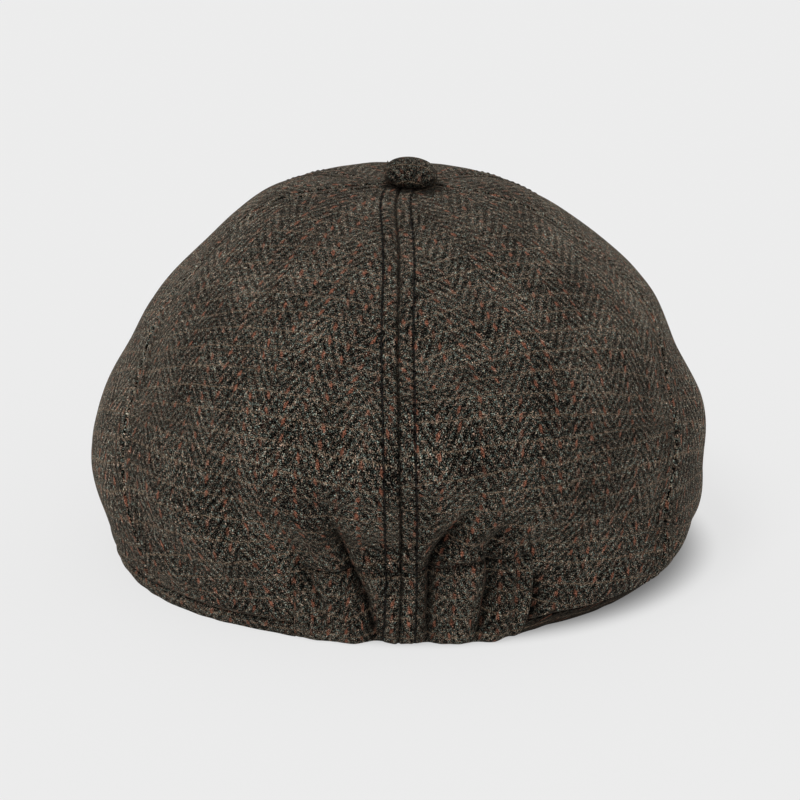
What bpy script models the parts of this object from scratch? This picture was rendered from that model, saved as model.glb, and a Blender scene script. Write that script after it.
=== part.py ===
"""A six-panel cloth cap with a peak, a covered button on top and a gathered elastic casing at the back.

The cap lies on its hem. +Z is up, the peak points to -Y and the wearer's left is +X.
A place on the crown is given by its turn, in degrees from the middle of the back towards the
wearer's left, and its rise, from 0 at the edge of the opening to 1 at the top.
"""
import math

import bpy
import numpy as np

# The head opening
opening_half_width = 0.0965
opening_half_length = 0.0880
opening_shift = 0.0025
opening_fullness = 0.015
front_lift = 0.012
front_lift_start = 105.0

# The crown
crown_half_width = 0.1085
crown_back_reach = 0.1050
crown_front_reach = 0.1050
crown_height = 0.1300
crown_lean = 0.0050
crown_forward = 0.0095
panel_length = 0.1980

# Cloth and clearances
cloth_thickness = 0.0020
piece_gap = 0.0003

# The hem strip
hem_height = 0.0055
hem_thickness = 0.0026

# The elastic casing, with its two ends measured from the middle of the back
casing_height = 0.0262
casing_right_extra_height = 0.0030
casing_thickness = 0.0034
casing_left_length = 0.0290
casing_right_length = 0.0385

# Folds and gathers
fold_depth = 0.0060
fold_width = 0.0045
fold_softness = 0.0030
panel_fullness = 0.0012

# The peak
peak_length = 0.052
peak_thickness = 0.0040
peak_half_spread = 62.0
peak_edge_lift = 0.0080
peak_camber = 0.0020
peak_corner_length = 0.0035
peak_drop_at_root = 0.0005
peak_floor_gap = 0.0003

# The button
button_diameter = 0.0190
button_height = 0.0073
button_shank_diameter = 0.0060
button_shank_length = 0.0036
button_offset = 0.0016
button_tilt_back = 4.0
button_tilt_side = 5.0

# Sections of the crown from the opening up to the top, evenly spaced along the rise. The height is a
# share of the crown's height, the opening a share of the opening's size, and the four reaches are
# shares of the crown's half width and of its back and front length.
SECTION_COLUMNS = ("height", "opening", "left", "right", "back", "front")
SECTIONS = (
    (0.000, 1.00, 0.000, 0.000, 0.000, 0.000),
    (0.108, 0.20, 0.755, 0.830, 0.740, 0.740),
    (0.254, 0.00, 0.980, 1.000, 0.940, 0.980),
    (0.401, 0.00, 0.950, 0.970, 0.985, 1.000),
    (0.540, 0.00, 0.865, 0.890, 0.990, 0.980),
    (0.672, 0.00, 0.785, 0.818, 0.930, 0.915),
    (0.780, 0.00, 0.675, 0.697, 0.795, 0.810),
    (0.876, 0.00, 0.560, 0.540, 0.590, 0.665),
    (0.944, 0.00, 0.425, 0.370, 0.370, 0.490),
    (0.982, 0.00, 0.240, 0.185, 0.170, 0.290),
    (1.000, 0.00, 0.000, 0.000, 0.000, 0.000),
)

# The share of the crown's height over which the lift of the opening's edge fades out
hem_lift_fade = 0.6

# The turn of the seams between the panels, at evenly spaced rises from the opening to the top. The
# middle back seam leans, and the side and front seams are the same on both sides.
SEAM_COLUMNS = ("back", "side", "front")
SEAMS = (
    (-1.6, 56.0, 118.0),
    (-1.2, 58.5, 119.0),
    (-0.2, 71.5, 124.0),
    (1.2, 85.0, 131.0),
    (3.5, 89.5, 134.0),
    (9.0, 90.0, 135.0),
)

# Folds and gathers as lines over the crown. The depth is a share of fold_depth, below zero for a
# ridge, and the width a share of fold_width.
FOLD_COLUMNS = ("turn", "rise", "depth", "width")
FOLDS = {
    "elastic pull": (
        (25.0, 0.145, 0.12, 2.8),
        (16.0, 0.160, 0.65, 2.8),
        (-22.0, 0.170, 0.65, 2.8),
        (-32.0, 0.160, 0.12, 2.8),
    ),
    "fullness of the casing": (
        (19.0, 0.000, -0.15, 2.2),
        (12.0, 0.000, -0.60, 2.2),
        (-4.0, 0.000, -0.50, 2.2),
        (-18.0, 0.000, -1.15, 2.2),
        (-24.0, 0.000, -0.50, 2.2),
    ),
    "full lower edge on the right": (
        (-36.0, 0.070, -0.10, 2.6),
        (-46.0, 0.070, -0.75, 2.6),
        (-56.0, 0.070, -0.75, 2.6),
        (-68.0, 0.070, -0.10, 2.6),
    ),
    "left gather": (
        (13.5, 0.300, 0.10, 1.1),
        (10.3, 0.235, 0.50, 1.0),
        (8.0, 0.190, 0.90, 0.9),
        (6.0, 0.130, 0.95, 0.9),
        (4.2, 0.070, 0.95, 0.9),
        (2.6, 0.000, 0.75, 0.9),
    ),
    "outer left gather": (
        (18.5, 0.185, 0.10, 0.9),
        (16.3, 0.140, 0.35, 0.8),
        (13.2, 0.060, 0.30, 0.8),
        (11.5, 0.000, 0.15, 0.8),
    ),
    "right gather": (
        (-19.0, 0.312, 0.10, 1.1),
        (-14.5, 0.285, 0.35, 1.1),
        (-11.0, 0.240, 0.75, 1.0),
        (-8.2, 0.180, 1.00, 0.9),
        (-8.2, 0.090, 0.85, 0.8),
        (-8.4, 0.000, 0.60, 0.8),
    ),
    "outer right gather": (
        (-38.0, 0.265, 0.08, 1.3),
        (-28.6, 0.262, 0.30, 1.2),
        (-21.5, 0.240, 0.65, 1.0),
        (-17.6, 0.190, 0.95, 0.9),
        (-17.3, 0.083, 0.90, 0.8),
        (-17.6, 0.000, 0.65, 0.8),
    ),
    "crease beside the right end": (
        (-24.5, 0.185, 0.50, 0.9),
        (-28.5, 0.222, 0.10, 0.9),
    ),
    "soft hollow on the left": (
        (37.0, 0.295, 0.10, 2.2),
        (30.0, 0.254, 0.35, 2.2),
        (21.0, 0.215, 0.35, 1.8),
    ),
    "soft ridge on the left": (
        (54.0, 0.247, -0.10, 2.0),
        (42.0, 0.225, -0.40, 2.0),
        (31.0, 0.190, -0.45, 1.8),
        (21.0, 0.178, -0.25, 1.6),
    ),
}

# The shoulders beside a fold, as shares of its depth and of its width
fold_shoulder_depth = 0.3
fold_shoulder_place = 1.9
fold_shoulder_tightness = 1.6

# How a panel swells: the bluntness over its width, and the rises over which it fades at both ends
panel_swell_bluntness = 0.6
panel_swell_start = 0.25
panel_swell_end = 0.20

# The turns, to the right of the middle of the back, where the casing starts to rise and stops
casing_step_start = 6.0
casing_step_end = 13.0

# The peak from its root to its edge: the way out as a share of its length, and the share of its
# thickness that is gone there
PEAK_COLUMNS = ("out", "thinner")
PEAK_ROWS = (
    (0.00, 0.00),
    (0.20, 0.00),
    (0.40, 0.00),
    (0.60, 0.00),
    (0.80, 0.05),
    (0.94, 0.15),
    (1.00, 0.55),
)
peak_edge_bluntness = 0.9

# The button from the middle of its top to its underside, as shares of its radius and its height
BUTTON_COLUMNS = ("out", "up")
BUTTON_PROFILE = (
    (0.00, 1.000),
    (0.30, 0.985),
    (0.56, 0.910),
    (0.78, 0.770),
    (0.93, 0.570),
    (1.00, 0.330),
    (0.96, 0.100),
    (0.86, 0.000),
)

# How finely the surfaces are divided
cells_beside_casing = 4
cells_over_casing = 7
cells_to_top = 9
cells_back_inner = 9
cells_back_outer = 9
cells_side_panel = 8
cells_front_panel = 8
cells_casing_across = 44
cells_casing_up = 6
cells_hem_around = 66
cells_peak_across = 30
button_sides = 20

# The rise up to which the walls stand upright on their edge, and the rise where fine rows end
upright_rise = 0.12
fine_rows_rise = 0.34

# Edges between faces that meet at a steeper angle than this stay sharp
sharp_angle = 50.0

CLOTH_COLOUR = (0.058, 0.048, 0.038, 1.0)
HEM_COLOUR = (0.050, 0.042, 0.034, 1.0)
CLOTH_ROUGHNESS = 0.95


def smooth(value):
    """A soft step from 0 to 1."""
    value = np.clip(value, 0.0, 1.0)
    return value * value * (3.0 - 2.0 * value)


def through_rows(rows, position):
    """A smooth curve through evenly spaced rows, at a position from 0 to 1."""
    steps = len(rows) - 3
    place = np.clip(np.asarray(position, float), 0.0, 1.0) * steps
    index = np.minimum(np.floor(place).astype(int), steps - 1)
    part = (place - index)[..., None]
    before, here, after, beyond = rows[index], rows[index + 1], rows[index + 2], rows[index + 3]
    square = 2.0 * before - 5.0 * here + 4.0 * after - beyond
    cube = 3.0 * here - before - 3.0 * after + beyond
    return 0.5 * (2.0 * here + (after - before) * part + square * part**2 + cube * part**3)


def with_end_rows(rows, past=None):
    """A table of rows with one row added before its start and one past its end."""
    rows = [np.array(row) for row in rows]
    before = 2.0 * rows[0] - rows[1]
    past = 2.0 * rows[-1] - rows[-2] if past is None else rows[-2] * np.array(past)
    return np.array([before] + rows + [past])


SECTION_ROWS = with_end_rows(SECTIONS, (1.0, 0.0, -1.0, -1.0, -1.0, -1.0))
SEAM_ROWS = with_end_rows(SEAMS)


def section(rise):
    """The section's columns at a rise."""
    values = through_rows(SECTION_ROWS, rise)
    return [values[..., column] for column in range(len(SECTION_COLUMNS))]


def rise_where(column, share):
    """The rise where a column that grows or shrinks steadily reaches a share."""
    table = np.linspace(0.0, 1.0, 2001)
    values = section(table)[SECTION_COLUMNS.index(column)]
    start = 0 if column == "height" else int(np.argmax(values))
    table, values = table[start:], values[start:]
    if values[0] > values[-1]:
        table, values = table[::-1], values[::-1]
    return np.interp(share, values, table)


def hem_lift(turn):
    """The height of the opening's edge, which lifts over the peak."""
    away = np.abs((np.asarray(turn, float) + 180.0) % 360.0 - 180.0)
    return front_lift * smooth((away - front_lift_start) / (180.0 - front_lift_start))


def seam_turn(which, rise):
    """The turn of one of the seams at a rise, as seen on the left side."""
    return through_rows(SEAM_ROWS, rise)[..., SEAM_COLUMNS.index(which)]


def crown_base(turn, rise):
    """The crown's outer surface without its folds."""
    turn, rise = np.broadcast_arrays(np.asarray(turn, float), np.asarray(rise, float))
    height, opening, left, right, back, front = section(rise)
    angle = np.radians(turn)
    across, along = np.sin(angle), np.cos(angle)
    wide = opening * opening_half_width + np.where(across >= 0.0, left, right) * crown_half_width
    reach = np.where(along >= 0.0, back * crown_back_reach, front * crown_front_reach)
    deep = opening * opening_half_length + reach
    full = 1.0 + opening_fullness * opening * (1.0 - np.cos(4.0 * angle)) / 2.0
    x = opening_shift - crown_lean * height + wide * full * across
    y = -crown_forward * height + deep * full * along
    z = height * crown_height + hem_lift(turn) * (1.0 - smooth(height / hem_lift_fade))
    return np.stack([x, y, z], axis=-1)


def crown_outward(turn, rise):
    """The outward direction of the crown, level at the edge of the opening."""
    step_turn, step_rise = 0.4, 0.002
    rise = np.asarray(rise, float)
    above, below = np.clip(rise + step_rise, 0.0, 1.0), np.clip(rise - step_rise, 0.0, 1.0)
    around = crown_base(turn + step_turn, rise) - crown_base(turn - step_turn, rise)
    up = crown_base(turn, above) - crown_base(turn, below)
    out = np.cross(up, around)
    out[..., 2] *= smooth(rise / upright_rise)
    return out / np.linalg.norm(out, axis=-1, keepdims=True)


def fold_path(points):
    """Close places along a fold: how far round and up the crown, and the depth and width there."""
    rows = with_end_rows(points)
    places = through_rows(rows, np.linspace(0.0, 1.0, 12 * (len(points) - 1) + 1))
    around = np.radians(places[:, 0]) * crown_back_reach
    return around, places[:, 1] * panel_length, places[:, 2], places[:, 3] * fold_width


def fold_line(around, up, points):
    """The depth of one fold at places on the crown, with shoulders beside it."""
    path_around, path_up, path_depth, path_width = fold_path(points)
    steps = np.hypot(np.diff(path_around), np.diff(path_up))
    share = (np.append(steps, 0.0) + np.insert(steps, 0, 0.0)) / 2.0
    square = (around[..., None] - path_around) ** 2 + (up[..., None] - path_up) ** 2
    nearest = square.min(axis=-1)
    weight = share * np.exp((nearest[..., None] - square) / fold_softness**2)
    total = weight.sum(axis=-1)
    depth = (weight * path_depth).sum(axis=-1) / total
    width = (weight * path_width).sum(axis=-1) / total
    away = nearest - fold_softness**2 * np.log(total / (fold_softness * math.sqrt(math.pi)))
    away = np.sqrt(np.maximum(away, 0.0)) / width
    shoulder = np.exp(-fold_shoulder_tightness * (away - fold_shoulder_place) ** 2)
    return fold_depth * depth * (np.exp(-(away**2)) - fold_shoulder_depth * shoulder)


def fold_relief(turn, rise):
    """How far the folds move the surface outwards."""
    turn, rise = np.broadcast_arrays(np.asarray(turn, float), np.asarray(rise, float))
    around = np.radians((turn + 180.0) % 360.0 - 180.0) * crown_back_reach
    up = rise * panel_length
    relief = np.zeros(turn.shape)
    for points in FOLDS.values():
        relief -= fold_line(around, up, points)
    return relief


def panel_relief(turn, rise):
    """How far a panel swells between its seams."""
    turn, rise = np.broadcast_arrays(np.asarray(turn, float), np.asarray(rise, float))
    around = (turn + 180.0) % 360.0 - 180.0
    away = np.abs(around)
    back = seam_turn("back", rise)
    side, front = seam_turn("side", rise), seam_turn("front", rise)
    on_back = np.where(around > back, around - back, back - around)
    reach = np.where(around > back, side - back, side + back)
    away = np.where(away < side, on_back / reach * side, away)
    start = np.where(away < side, 0.0, np.where(away < front, side, front))
    end = np.where(away < side, side, np.where(away < front, front, 180.0))
    part = np.clip((away - start) / (end - start), 0.0, 1.0)
    swell = (4.0 * part * (1.0 - part)) ** panel_swell_bluntness
    fade = smooth(rise / panel_swell_start) * smooth((1.0 - rise) / panel_swell_end)
    return panel_fullness * swell * fade


def crown_point(turn, rise, outward=0.0):
    """A point of the crown with its folds, moved outwards."""
    turn, rise = np.broadcast_arrays(np.asarray(turn, float), np.asarray(rise, float))
    move = fold_relief(turn, rise) + panel_relief(turn, rise) + outward
    return crown_base(turn, rise) + crown_outward(turn, rise) * move[..., None]


def new_object(name, points, faces, colour):
    """A named object with its own material, made from points and faces."""
    mesh = bpy.data.meshes.new(name)
    mesh.from_pydata([tuple(point) for point in points], [], faces)
    mesh.validate()
    mesh.shade_smooth()
    mesh.set_sharp_from_angle(angle=math.radians(sharp_angle))
    material = bpy.data.materials.new(name)
    material.use_nodes = True
    shader = material.node_tree.nodes["Principled BSDF"]
    shader.inputs["Base Color"].default_value = colour
    shader.inputs["Roughness"].default_value = CLOTH_ROUGHNESS
    shader.inputs["Metallic"].default_value = 0.0
    mesh.materials.append(material)
    item = bpy.data.objects.new(name, mesh)
    bpy.context.scene.collection.objects.link(item)
    return item


def closed_wall(name, outer, inner, keep, colour, wraps=False):
    """A closed wall between two grids of points, made of the cells that are kept.

    The grids run row by row upwards, and each row from low to high turn.
    """
    rows, columns = outer.shape[:2]
    count = rows * columns
    points = np.concatenate([outer.reshape(count, 3), inner.reshape(count, 3)])

    def spot(row, column):
        return row * columns + column % columns

    cells_across = columns if wraps else columns - 1
    faces = []
    edges = {}
    for row in range(rows - 1):
        for column in range(cells_across):
            if not keep(row, column):
                continue
            above, beside = row + 1, column + 1
            ring = [spot(row, column), spot(above, column), spot(above, beside), spot(row, beside)]
            faces.append(ring)
            faces.append([count + place for place in reversed(ring)])
            for start, end in zip(ring, ring[1:] + ring[:1]):
                edges[(start, end)] = True
    for start, end in edges:
        if (end, start) not in edges:
            faces.append([end, start, count + start, count + end])
    used = sorted({place for face in faces for place in face})
    renumber = {place: number for number, place in enumerate(used)}
    faces = [[renumber[place] for place in face] for face in faces]
    return new_object(name, points[used], faces, colour)


def casing_ends():
    """The turns of the casing's right and left end."""
    left = math.degrees(casing_left_length / opening_half_length)
    right = math.degrees(casing_right_length / opening_half_length)
    return -right, left


def casing_top(turn):
    """The height of the casing's top edge, higher on the right of its inner gather."""
    step = (-np.asarray(turn, float) - casing_step_start) / (casing_step_end - casing_step_start)
    return casing_height + casing_right_extra_height * smooth(step)


def row_rises(turn):
    """The rises of the panels' rows at a turn, from the hem strip up to the hole under the button."""
    turn = np.asarray(turn, float)
    start = np.broadcast_to(rise_where("height", (hem_height + piece_gap) / crown_height), turn.shape)
    casing = rise_where("height", (casing_top(turn) + piece_gap) / crown_height)
    hole = button_shank_diameter / 2.0 + button_offset + 3.0 * piece_gap
    top = rise_where("back", hole / crown_back_reach)
    fine = np.broadcast_to(fine_rows_rise, turn.shape)
    rises = []
    for low, high, cells in (
        (start, casing, cells_beside_casing),
        (casing, fine, cells_over_casing),
        (fine, np.broadcast_to(top, turn.shape), cells_to_top),
    ):
        rises += [low + (high - low) * step / cells for step in range(cells)]
    rises.append(np.broadcast_to(top, turn.shape))
    return np.stack(rises)


def gap_turn(rise):
    """Half the clearance between two panels, as a turn."""
    values = section(rise)
    reach = values[1] * opening_half_length + values[4] * crown_back_reach
    return np.degrees(piece_gap / 2.0 / np.maximum(reach, button_shank_diameter / 2.0))


def panel_grid(turn_of_column, shares):
    """Turns and rises of a panel's grid. turn_of_column(share, rise) gives a column's turn."""
    shares = np.asarray(shares, float)
    rises = row_rises(turn_of_column(shares, 0.1))
    turns = turn_of_column(shares, rises)
    return turns, rises


def back_panel(name, side):
    """One of the two back panels, cut away where the casing sits.

    side is 1 for the left and -1 for the right.
    """
    right_end, left_end = casing_ends()
    end = (left_end if side > 0 else -right_end) + math.degrees(piece_gap / opening_half_length)
    inner = np.linspace(0.0, 1.0, cells_back_inner + 1)
    outer = np.linspace(1.0, 2.0, cells_back_outer + 1)[1:]
    shares = np.concatenate([inner, outer])

    def turn_of_column(share, rise):
        clear = gap_turn(rise)
        start = side * seam_turn("back", rise) + clear
        near = start + np.minimum(share, 1.0) * (end - start)
        far = np.maximum(share - 1.0, 0.0) * (seam_turn("side", rise) - clear - end)
        return side * (near + far)

    if side < 0:
        shares = shares[::-1]
    turns, rises = panel_grid(turn_of_column, shares)

    def keep(row, column):
        beside = cells_back_inner <= column if side > 0 else column < cells_back_outer
        return row >= cells_beside_casing or beside

    outside = crown_point(turns, rises)
    inside = crown_point(turns, rises, -cloth_thickness)
    return closed_wall(name, outside, inside, keep, CLOTH_COLOUR)


def plain_panel(name, side, from_seam, to_seam, cells):
    """A side or front panel between two seams."""

    def turn_of_column(share, rise):
        clear = gap_turn(rise)
        start = seam_turn(from_seam, rise) + clear
        end = (seam_turn(to_seam, rise) if to_seam else 180.0) - clear
        return side * (start + share * (end - start))

    shares = np.linspace(0.0, 1.0, cells + 1)
    if side < 0:
        shares = shares[::-1]
    turns, rises = panel_grid(turn_of_column, shares)
    outside = crown_point(turns, rises)
    inside = crown_point(turns, rises, -cloth_thickness)
    return closed_wall(name, outside, inside, lambda row, column: True, CLOTH_COLOUR)


def back_casing():
    """The elastic casing, gathered by the folds that run through it."""
    right_end, left_end = casing_ends()
    turns = np.linspace(right_end, left_end, cells_casing_across + 1)
    tops = rise_where("height", casing_top(turns) / crown_height)
    rises = np.linspace(0.0, 1.0, cells_casing_up + 1)[:, None] * tops
    turns = np.broadcast_to(turns, rises.shape)
    outside = crown_point(turns, rises)
    inside = crown_point(turns, rises, -casing_thickness)
    return closed_wall("back_casing", outside, inside, lambda row, column: True, CLOTH_COLOUR)


def rim_band():
    """The hem strip from one end of the casing round the front to the other."""
    right_end, left_end = casing_ends()
    clear = math.degrees(piece_gap / opening_half_length)
    turns = np.linspace(left_end + clear, 360.0 + right_end - clear, cells_hem_around + 1)
    top = rise_where("height", hem_height / crown_height)
    rises = np.array([0.0, 0.5, 1.0])[:, None] * top
    rises = np.broadcast_to(rises, (3, len(turns)))
    turns = np.broadcast_to(turns, rises.shape)
    outside = crown_point(turns, rises)
    inside = crown_point(turns, rises, -hem_thickness)
    return closed_wall("rim_band", outside, inside, lambda row, column: True, HEM_COLOUR)


def peak():
    """The peak: a curved crescent from the hem strip at the front, thinner along its edge."""
    across = np.linspace(-1.0, 1.0, cells_peak_across + 1)
    turns = 180.0 + across * peak_half_spread
    low = rise_where("height", peak_drop_at_root / crown_height)
    high = rise_where("height", (peak_drop_at_root + peak_thickness) / crown_height)
    root_under = crown_point(turns, low, 2.0 * piece_gap)
    root_over = crown_point(turns, high, 2.0 * piece_gap)
    half_width = abs(root_over[0] - root_over[-1])[0] / 2.0 + peak_corner_length
    middle = (root_over[0] + root_over[-1]) / 2.0
    tip = root_over[cells_peak_across // 2][1] - peak_length
    swing = np.radians(90.0 * across)
    edge_x = middle[0] - half_width * np.sin(swing)
    edge_y = middle[1] + (tip - middle[1]) * np.cos(swing) ** peak_edge_bluntness
    edge_z = peak_edge_lift * (1.0 - across**2) + peak_floor_gap
    edge_under = np.stack([edge_x, edge_y, edge_z], axis=-1)
    edge_over = edge_under + np.array([0.0, 0.0, peak_thickness])
    out, thinner = np.array(PEAK_ROWS).T[:, :, None]
    under = root_under + out[..., None] * (edge_under - root_under)
    over = root_over + out[..., None] * (edge_over - root_over)
    arch = peak_camber * 4.0 * out * (1.0 - out) * (1.0 - across**2)
    under[..., 2] += arch + thinner * peak_thickness / 2.0
    over[..., 2] += arch - thinner * peak_thickness / 2.0
    return closed_wall("peak", under, over, lambda row, column: True, CLOTH_COLOUR)


def top_button():
    """The covered button on its shank, turned about its own axis."""
    radius = button_diameter / 2.0
    profile = [(radius * out, button_height * up) for out, up in BUTTON_PROFILE]
    shank = button_shank_diameter / 2.0
    profile += [(shank, 0.0), (shank, -button_shank_length), (0.0, -button_shank_length)]
    points = [(0.0, 0.0, profile[0][1])]
    for out, up in profile[1:-1]:
        for side in range(button_sides):
            angle = 2.0 * math.pi * side / button_sides
            points.append((out * math.cos(angle), out * math.sin(angle), up))
    points.append((0.0, 0.0, profile[-1][1]))
    rings = len(profile) - 2
    faces = []
    for side in range(button_sides):
        after = (side + 1) % button_sides
        faces.append([0, 1 + side, 1 + after])
        for ring in range(rings - 1):
            upper = 1 + ring * button_sides
            lower = upper + button_sides
            faces.append([upper + side, lower + side, lower + after, upper + after])
        last = 1 + (rings - 1) * button_sides
        faces.append([len(points) - 1, last + after, last + side])
    item = new_object("top_button", points, faces, CLOTH_COLOUR)
    top = crown_base(0.0, 1.0)
    item.rotation_euler = (math.radians(-button_tilt_back), math.radians(-button_tilt_side), 0.0)
    lift = piece_gap + 0.5 * radius * math.sin(math.radians(button_tilt_side))
    item.location = (top[0] - button_offset, top[1], top[2] + lift)
    return item


def centre_on_footprint(items):
    """Hold all pieces by an empty, so that the origin is under the middle of the cap."""
    bpy.context.view_layer.update()
    corners = np.array([item.matrix_world @ vertex.co for item in items for vertex in item.data.vertices])
    middle = (corners.min(axis=0) + corners.max(axis=0)) / 2.0
    holder = bpy.data.objects.new("cap", None)
    bpy.context.scene.collection.objects.link(holder)
    for item in items:
        item.parent = holder
    holder.location = (-middle[0], -middle[1], -corners[:, 2].min())


def main():
    for item in list(bpy.data.objects):
        bpy.data.objects.remove(item, do_unlink=True)
    items = [
        back_panel("panel_back_left", 1),
        back_panel("panel_back_right", -1),
        plain_panel("panel_side_left", 1, "side", "front", cells_side_panel),
        plain_panel("panel_side_right", -1, "side", "front", cells_side_panel),
        plain_panel("panel_front_left", 1, "front", None, cells_front_panel),
        plain_panel("panel_front_right", -1, "front", None, cells_front_panel),
        back_casing(),
        rim_band(),
        peak(),
        top_button(),
    ]
    centre_on_footprint(items)


main()
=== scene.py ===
"""The look of a six-panel wool cap: its herringbone cloth, seams, topstitching, gathers and nap."""
import math

import bpy
import numpy as np
from mathutils import Euler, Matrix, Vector


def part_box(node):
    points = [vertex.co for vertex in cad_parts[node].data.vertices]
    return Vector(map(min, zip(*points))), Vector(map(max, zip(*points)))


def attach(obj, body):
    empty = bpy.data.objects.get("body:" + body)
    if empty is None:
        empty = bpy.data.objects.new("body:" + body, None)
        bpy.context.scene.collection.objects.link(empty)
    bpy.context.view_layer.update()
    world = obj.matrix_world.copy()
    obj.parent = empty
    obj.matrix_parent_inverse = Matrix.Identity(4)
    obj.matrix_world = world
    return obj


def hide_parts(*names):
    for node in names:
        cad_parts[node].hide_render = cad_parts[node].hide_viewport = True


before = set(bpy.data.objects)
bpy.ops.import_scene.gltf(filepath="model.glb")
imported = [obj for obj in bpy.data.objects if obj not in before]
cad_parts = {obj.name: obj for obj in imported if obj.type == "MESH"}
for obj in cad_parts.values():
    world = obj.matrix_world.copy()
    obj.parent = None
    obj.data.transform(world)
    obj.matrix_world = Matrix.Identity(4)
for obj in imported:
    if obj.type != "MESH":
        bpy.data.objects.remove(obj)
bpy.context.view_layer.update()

# The head opening
opening_half_width = 0.0965
opening_half_length = 0.0880
opening_shift = 0.0025
opening_fullness = 0.015
front_lift = 0.012
front_lift_start = 105.0

# The crown
crown_half_width = 0.1085
crown_back_reach = 0.1050
crown_front_reach = 0.1050
crown_height = 0.1300
crown_lean = 0.0050
crown_forward = 0.0095
panel_length = 0.1980
upright_rise = 0.12

# Cloth
cloth_thickness = 0.0018
hem_height = 0.0055
hem_thickness = 0.0024
casing_height = 0.0262
casing_right_extra_height = 0.0030
casing_thickness = 0.0030
casing_left_length = 0.0290
casing_right_length = 0.0385
fold_depth = 0.0060
fold_width = 0.0045
fold_softness = 0.0030
panel_fullness = 0.0012

# The peak and the button
peak_length = 0.052
peak_thickness = 0.0040
peak_half_spread = 62.0
peak_edge_lift = 0.0080
peak_camber = 0.0020
peak_corner_length = 0.0035
peak_drop_at_root = 0.0005
peak_floor_gap = 0.0003
peak_root_gap = 0.0006
peak_edge_bluntness = 0.9
button_diameter = 0.0190
button_height = 0.0073
button_tilt_back = 4.0
button_tilt_side = 5.0

# How the hem's lift, folds and panels ease in and out, as in the solids
hem_lift_fade = 0.6
fold_shoulder_depth = 0.3
fold_shoulder_place = 1.9
fold_shoulder_tightness = 1.6
panel_swell_bluntness = 0.6
panel_swell_start = 0.25
panel_swell_end = 0.20
button_hole_rise = 0.975

# Turns of the casing: its ends, where its top rises, and how early its left end fades into the panel
casing_step_start = 6.0
casing_step_end = 13.0
casing_left_fade = 3.0
left_end = math.degrees(casing_left_length / opening_half_length)
right_end = -math.degrees(casing_right_length / opening_half_length)

# Sewing
seam_groove_depth = 0.0011
seam_groove_width = 0.0006
allowance_width = 0.0064
allowance_height = 0.0004
topstitch_distance = 0.0052
topstitch_depth = 0.0006
topstitch_width = 0.0006
stitch_pitch = 0.0030
stitch_length = 0.0021
thread_radius = 0.00022
turned_row_distance = 0.0011
turned_row_depth = 0.0001
seam_rows_end_rise = 0.965

# The turned edge of a panel: its swell, its tuck and the dents of its stitches
edge_swell_height = 0.0006
edge_swell_distance = 0.0022
edge_swell_width = 0.0016
edge_tuck_depth = 0.0005
edge_tuck_width = 0.0006
edge_stitch_depth = 0.0003
edge_stitch_distance = 0.0008

# Gathers, and the shade in them
gather_sharpness = 1.45
gather_depth = 0.80
crease_depth = 0.0009
crease_width = 0.0007
hollow_width = 0.0016
far_away = 0.2

# The panels beside the casing, with a painted shadow beside its right end, and the casing's own edges and
# ends
groove_depth_left = 0.0005
groove_depth_right = 0.0012
groove_width = 0.0014
groove_shade_start = 0.0012
groove_shade_width = 0.0024
casing_tuck_depth = 0.0009
casing_ridge_right = 0.0011
casing_ridge_left = 0.0006
casing_ridge_distance = 0.0012
casing_ridge_width = 0.0014

# The grain of the back panels, and the rise from which their side seams show as a dark line
grain_turn_low = 28.0
grain_turn_high = 37.0
grain_lean_rise = 0.6
dark_seam_rise = 0.84
dark_seam_blend = 0.03

# The turns and the rise between which the cloth at the sides is painted lighter: a painted sheen
painted_sheen_start = 55.0
painted_sheen_full = 89.0
painted_sheen_ebb = 105.0
painted_sheen_end = 150.0
painted_sheen_below_top = 0.50

# The finer shapes of the hem, the peak and the button, and the painted shade on the hem and round the
# button
hem_roundness = 0.0006
hem_ripple = 0.00015
hem_shade_start = 240.0
hem_shade_full = 300.0
peak_edge_round = 0.002
peak_stitch_depth = 0.0004
button_pleats = 14
button_pleat_depth = 0.045
button_shade_width = 0.0013

# Where on the cloth each panel is cut
CLOTH_SHIFT = {
    "back_panel_left_cloth": (0.0, 0.0),
    "back_panel_right_cloth": (0.1465, 0.0),
    "side_panel_left_cloth": (0.310, 0.0),
    "side_panel_right_cloth": (0.420, 0.0),
    "front_panel_left_cloth": (0.530, 0.0),
    "front_panel_right_cloth": (0.640, 0.0),
}

# The weave, in millimetres on the cloth
END_PITCH = 0.87
PICK_PITCH = 1.24
COLUMN_ENDS = 13
RUST_END_EVERY = 8
TAN_PICK_SPACING = 7.5
UV_SPAN = 0.25
TWILL_SINE = END_PITCH / math.hypot(END_PITCH, PICK_PITCH)
TWILL_COSINE = PICK_PITCH / math.hypot(END_PITCH, PICK_PITCH)

# The cloth's tones and colours
MID_TONE = 0.131
WARM_WOOL = (1.15, 0.76, 0.56, 1.0)
COOL_WOOL = (0.73, 0.90, 0.78, 1.0)
KHAKI_WOOL = (1.00, 0.86, 0.57, 1.0)
RUST = (0.305, 0.118, 0.072, 1.0)
TAN = (0.240, 0.168, 0.112, 1.0)
PAINTED_SIDE_SHEEN = 0.58
SHEEN_TINT = (0.92, 0.75, 0.58, 1.0)
THREAD_BLACK = (0.010, 0.009, 0.009, 1.0)
THREAD_GREY = (0.020, 0.019, 0.018, 1.0)
THREAD_BROWN = (0.044, 0.037, 0.029, 1.0)
THREAD_TAUPE = (0.085, 0.070, 0.054, 1.0)

# The studio
FLOOR_GLOW = 0.687
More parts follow.
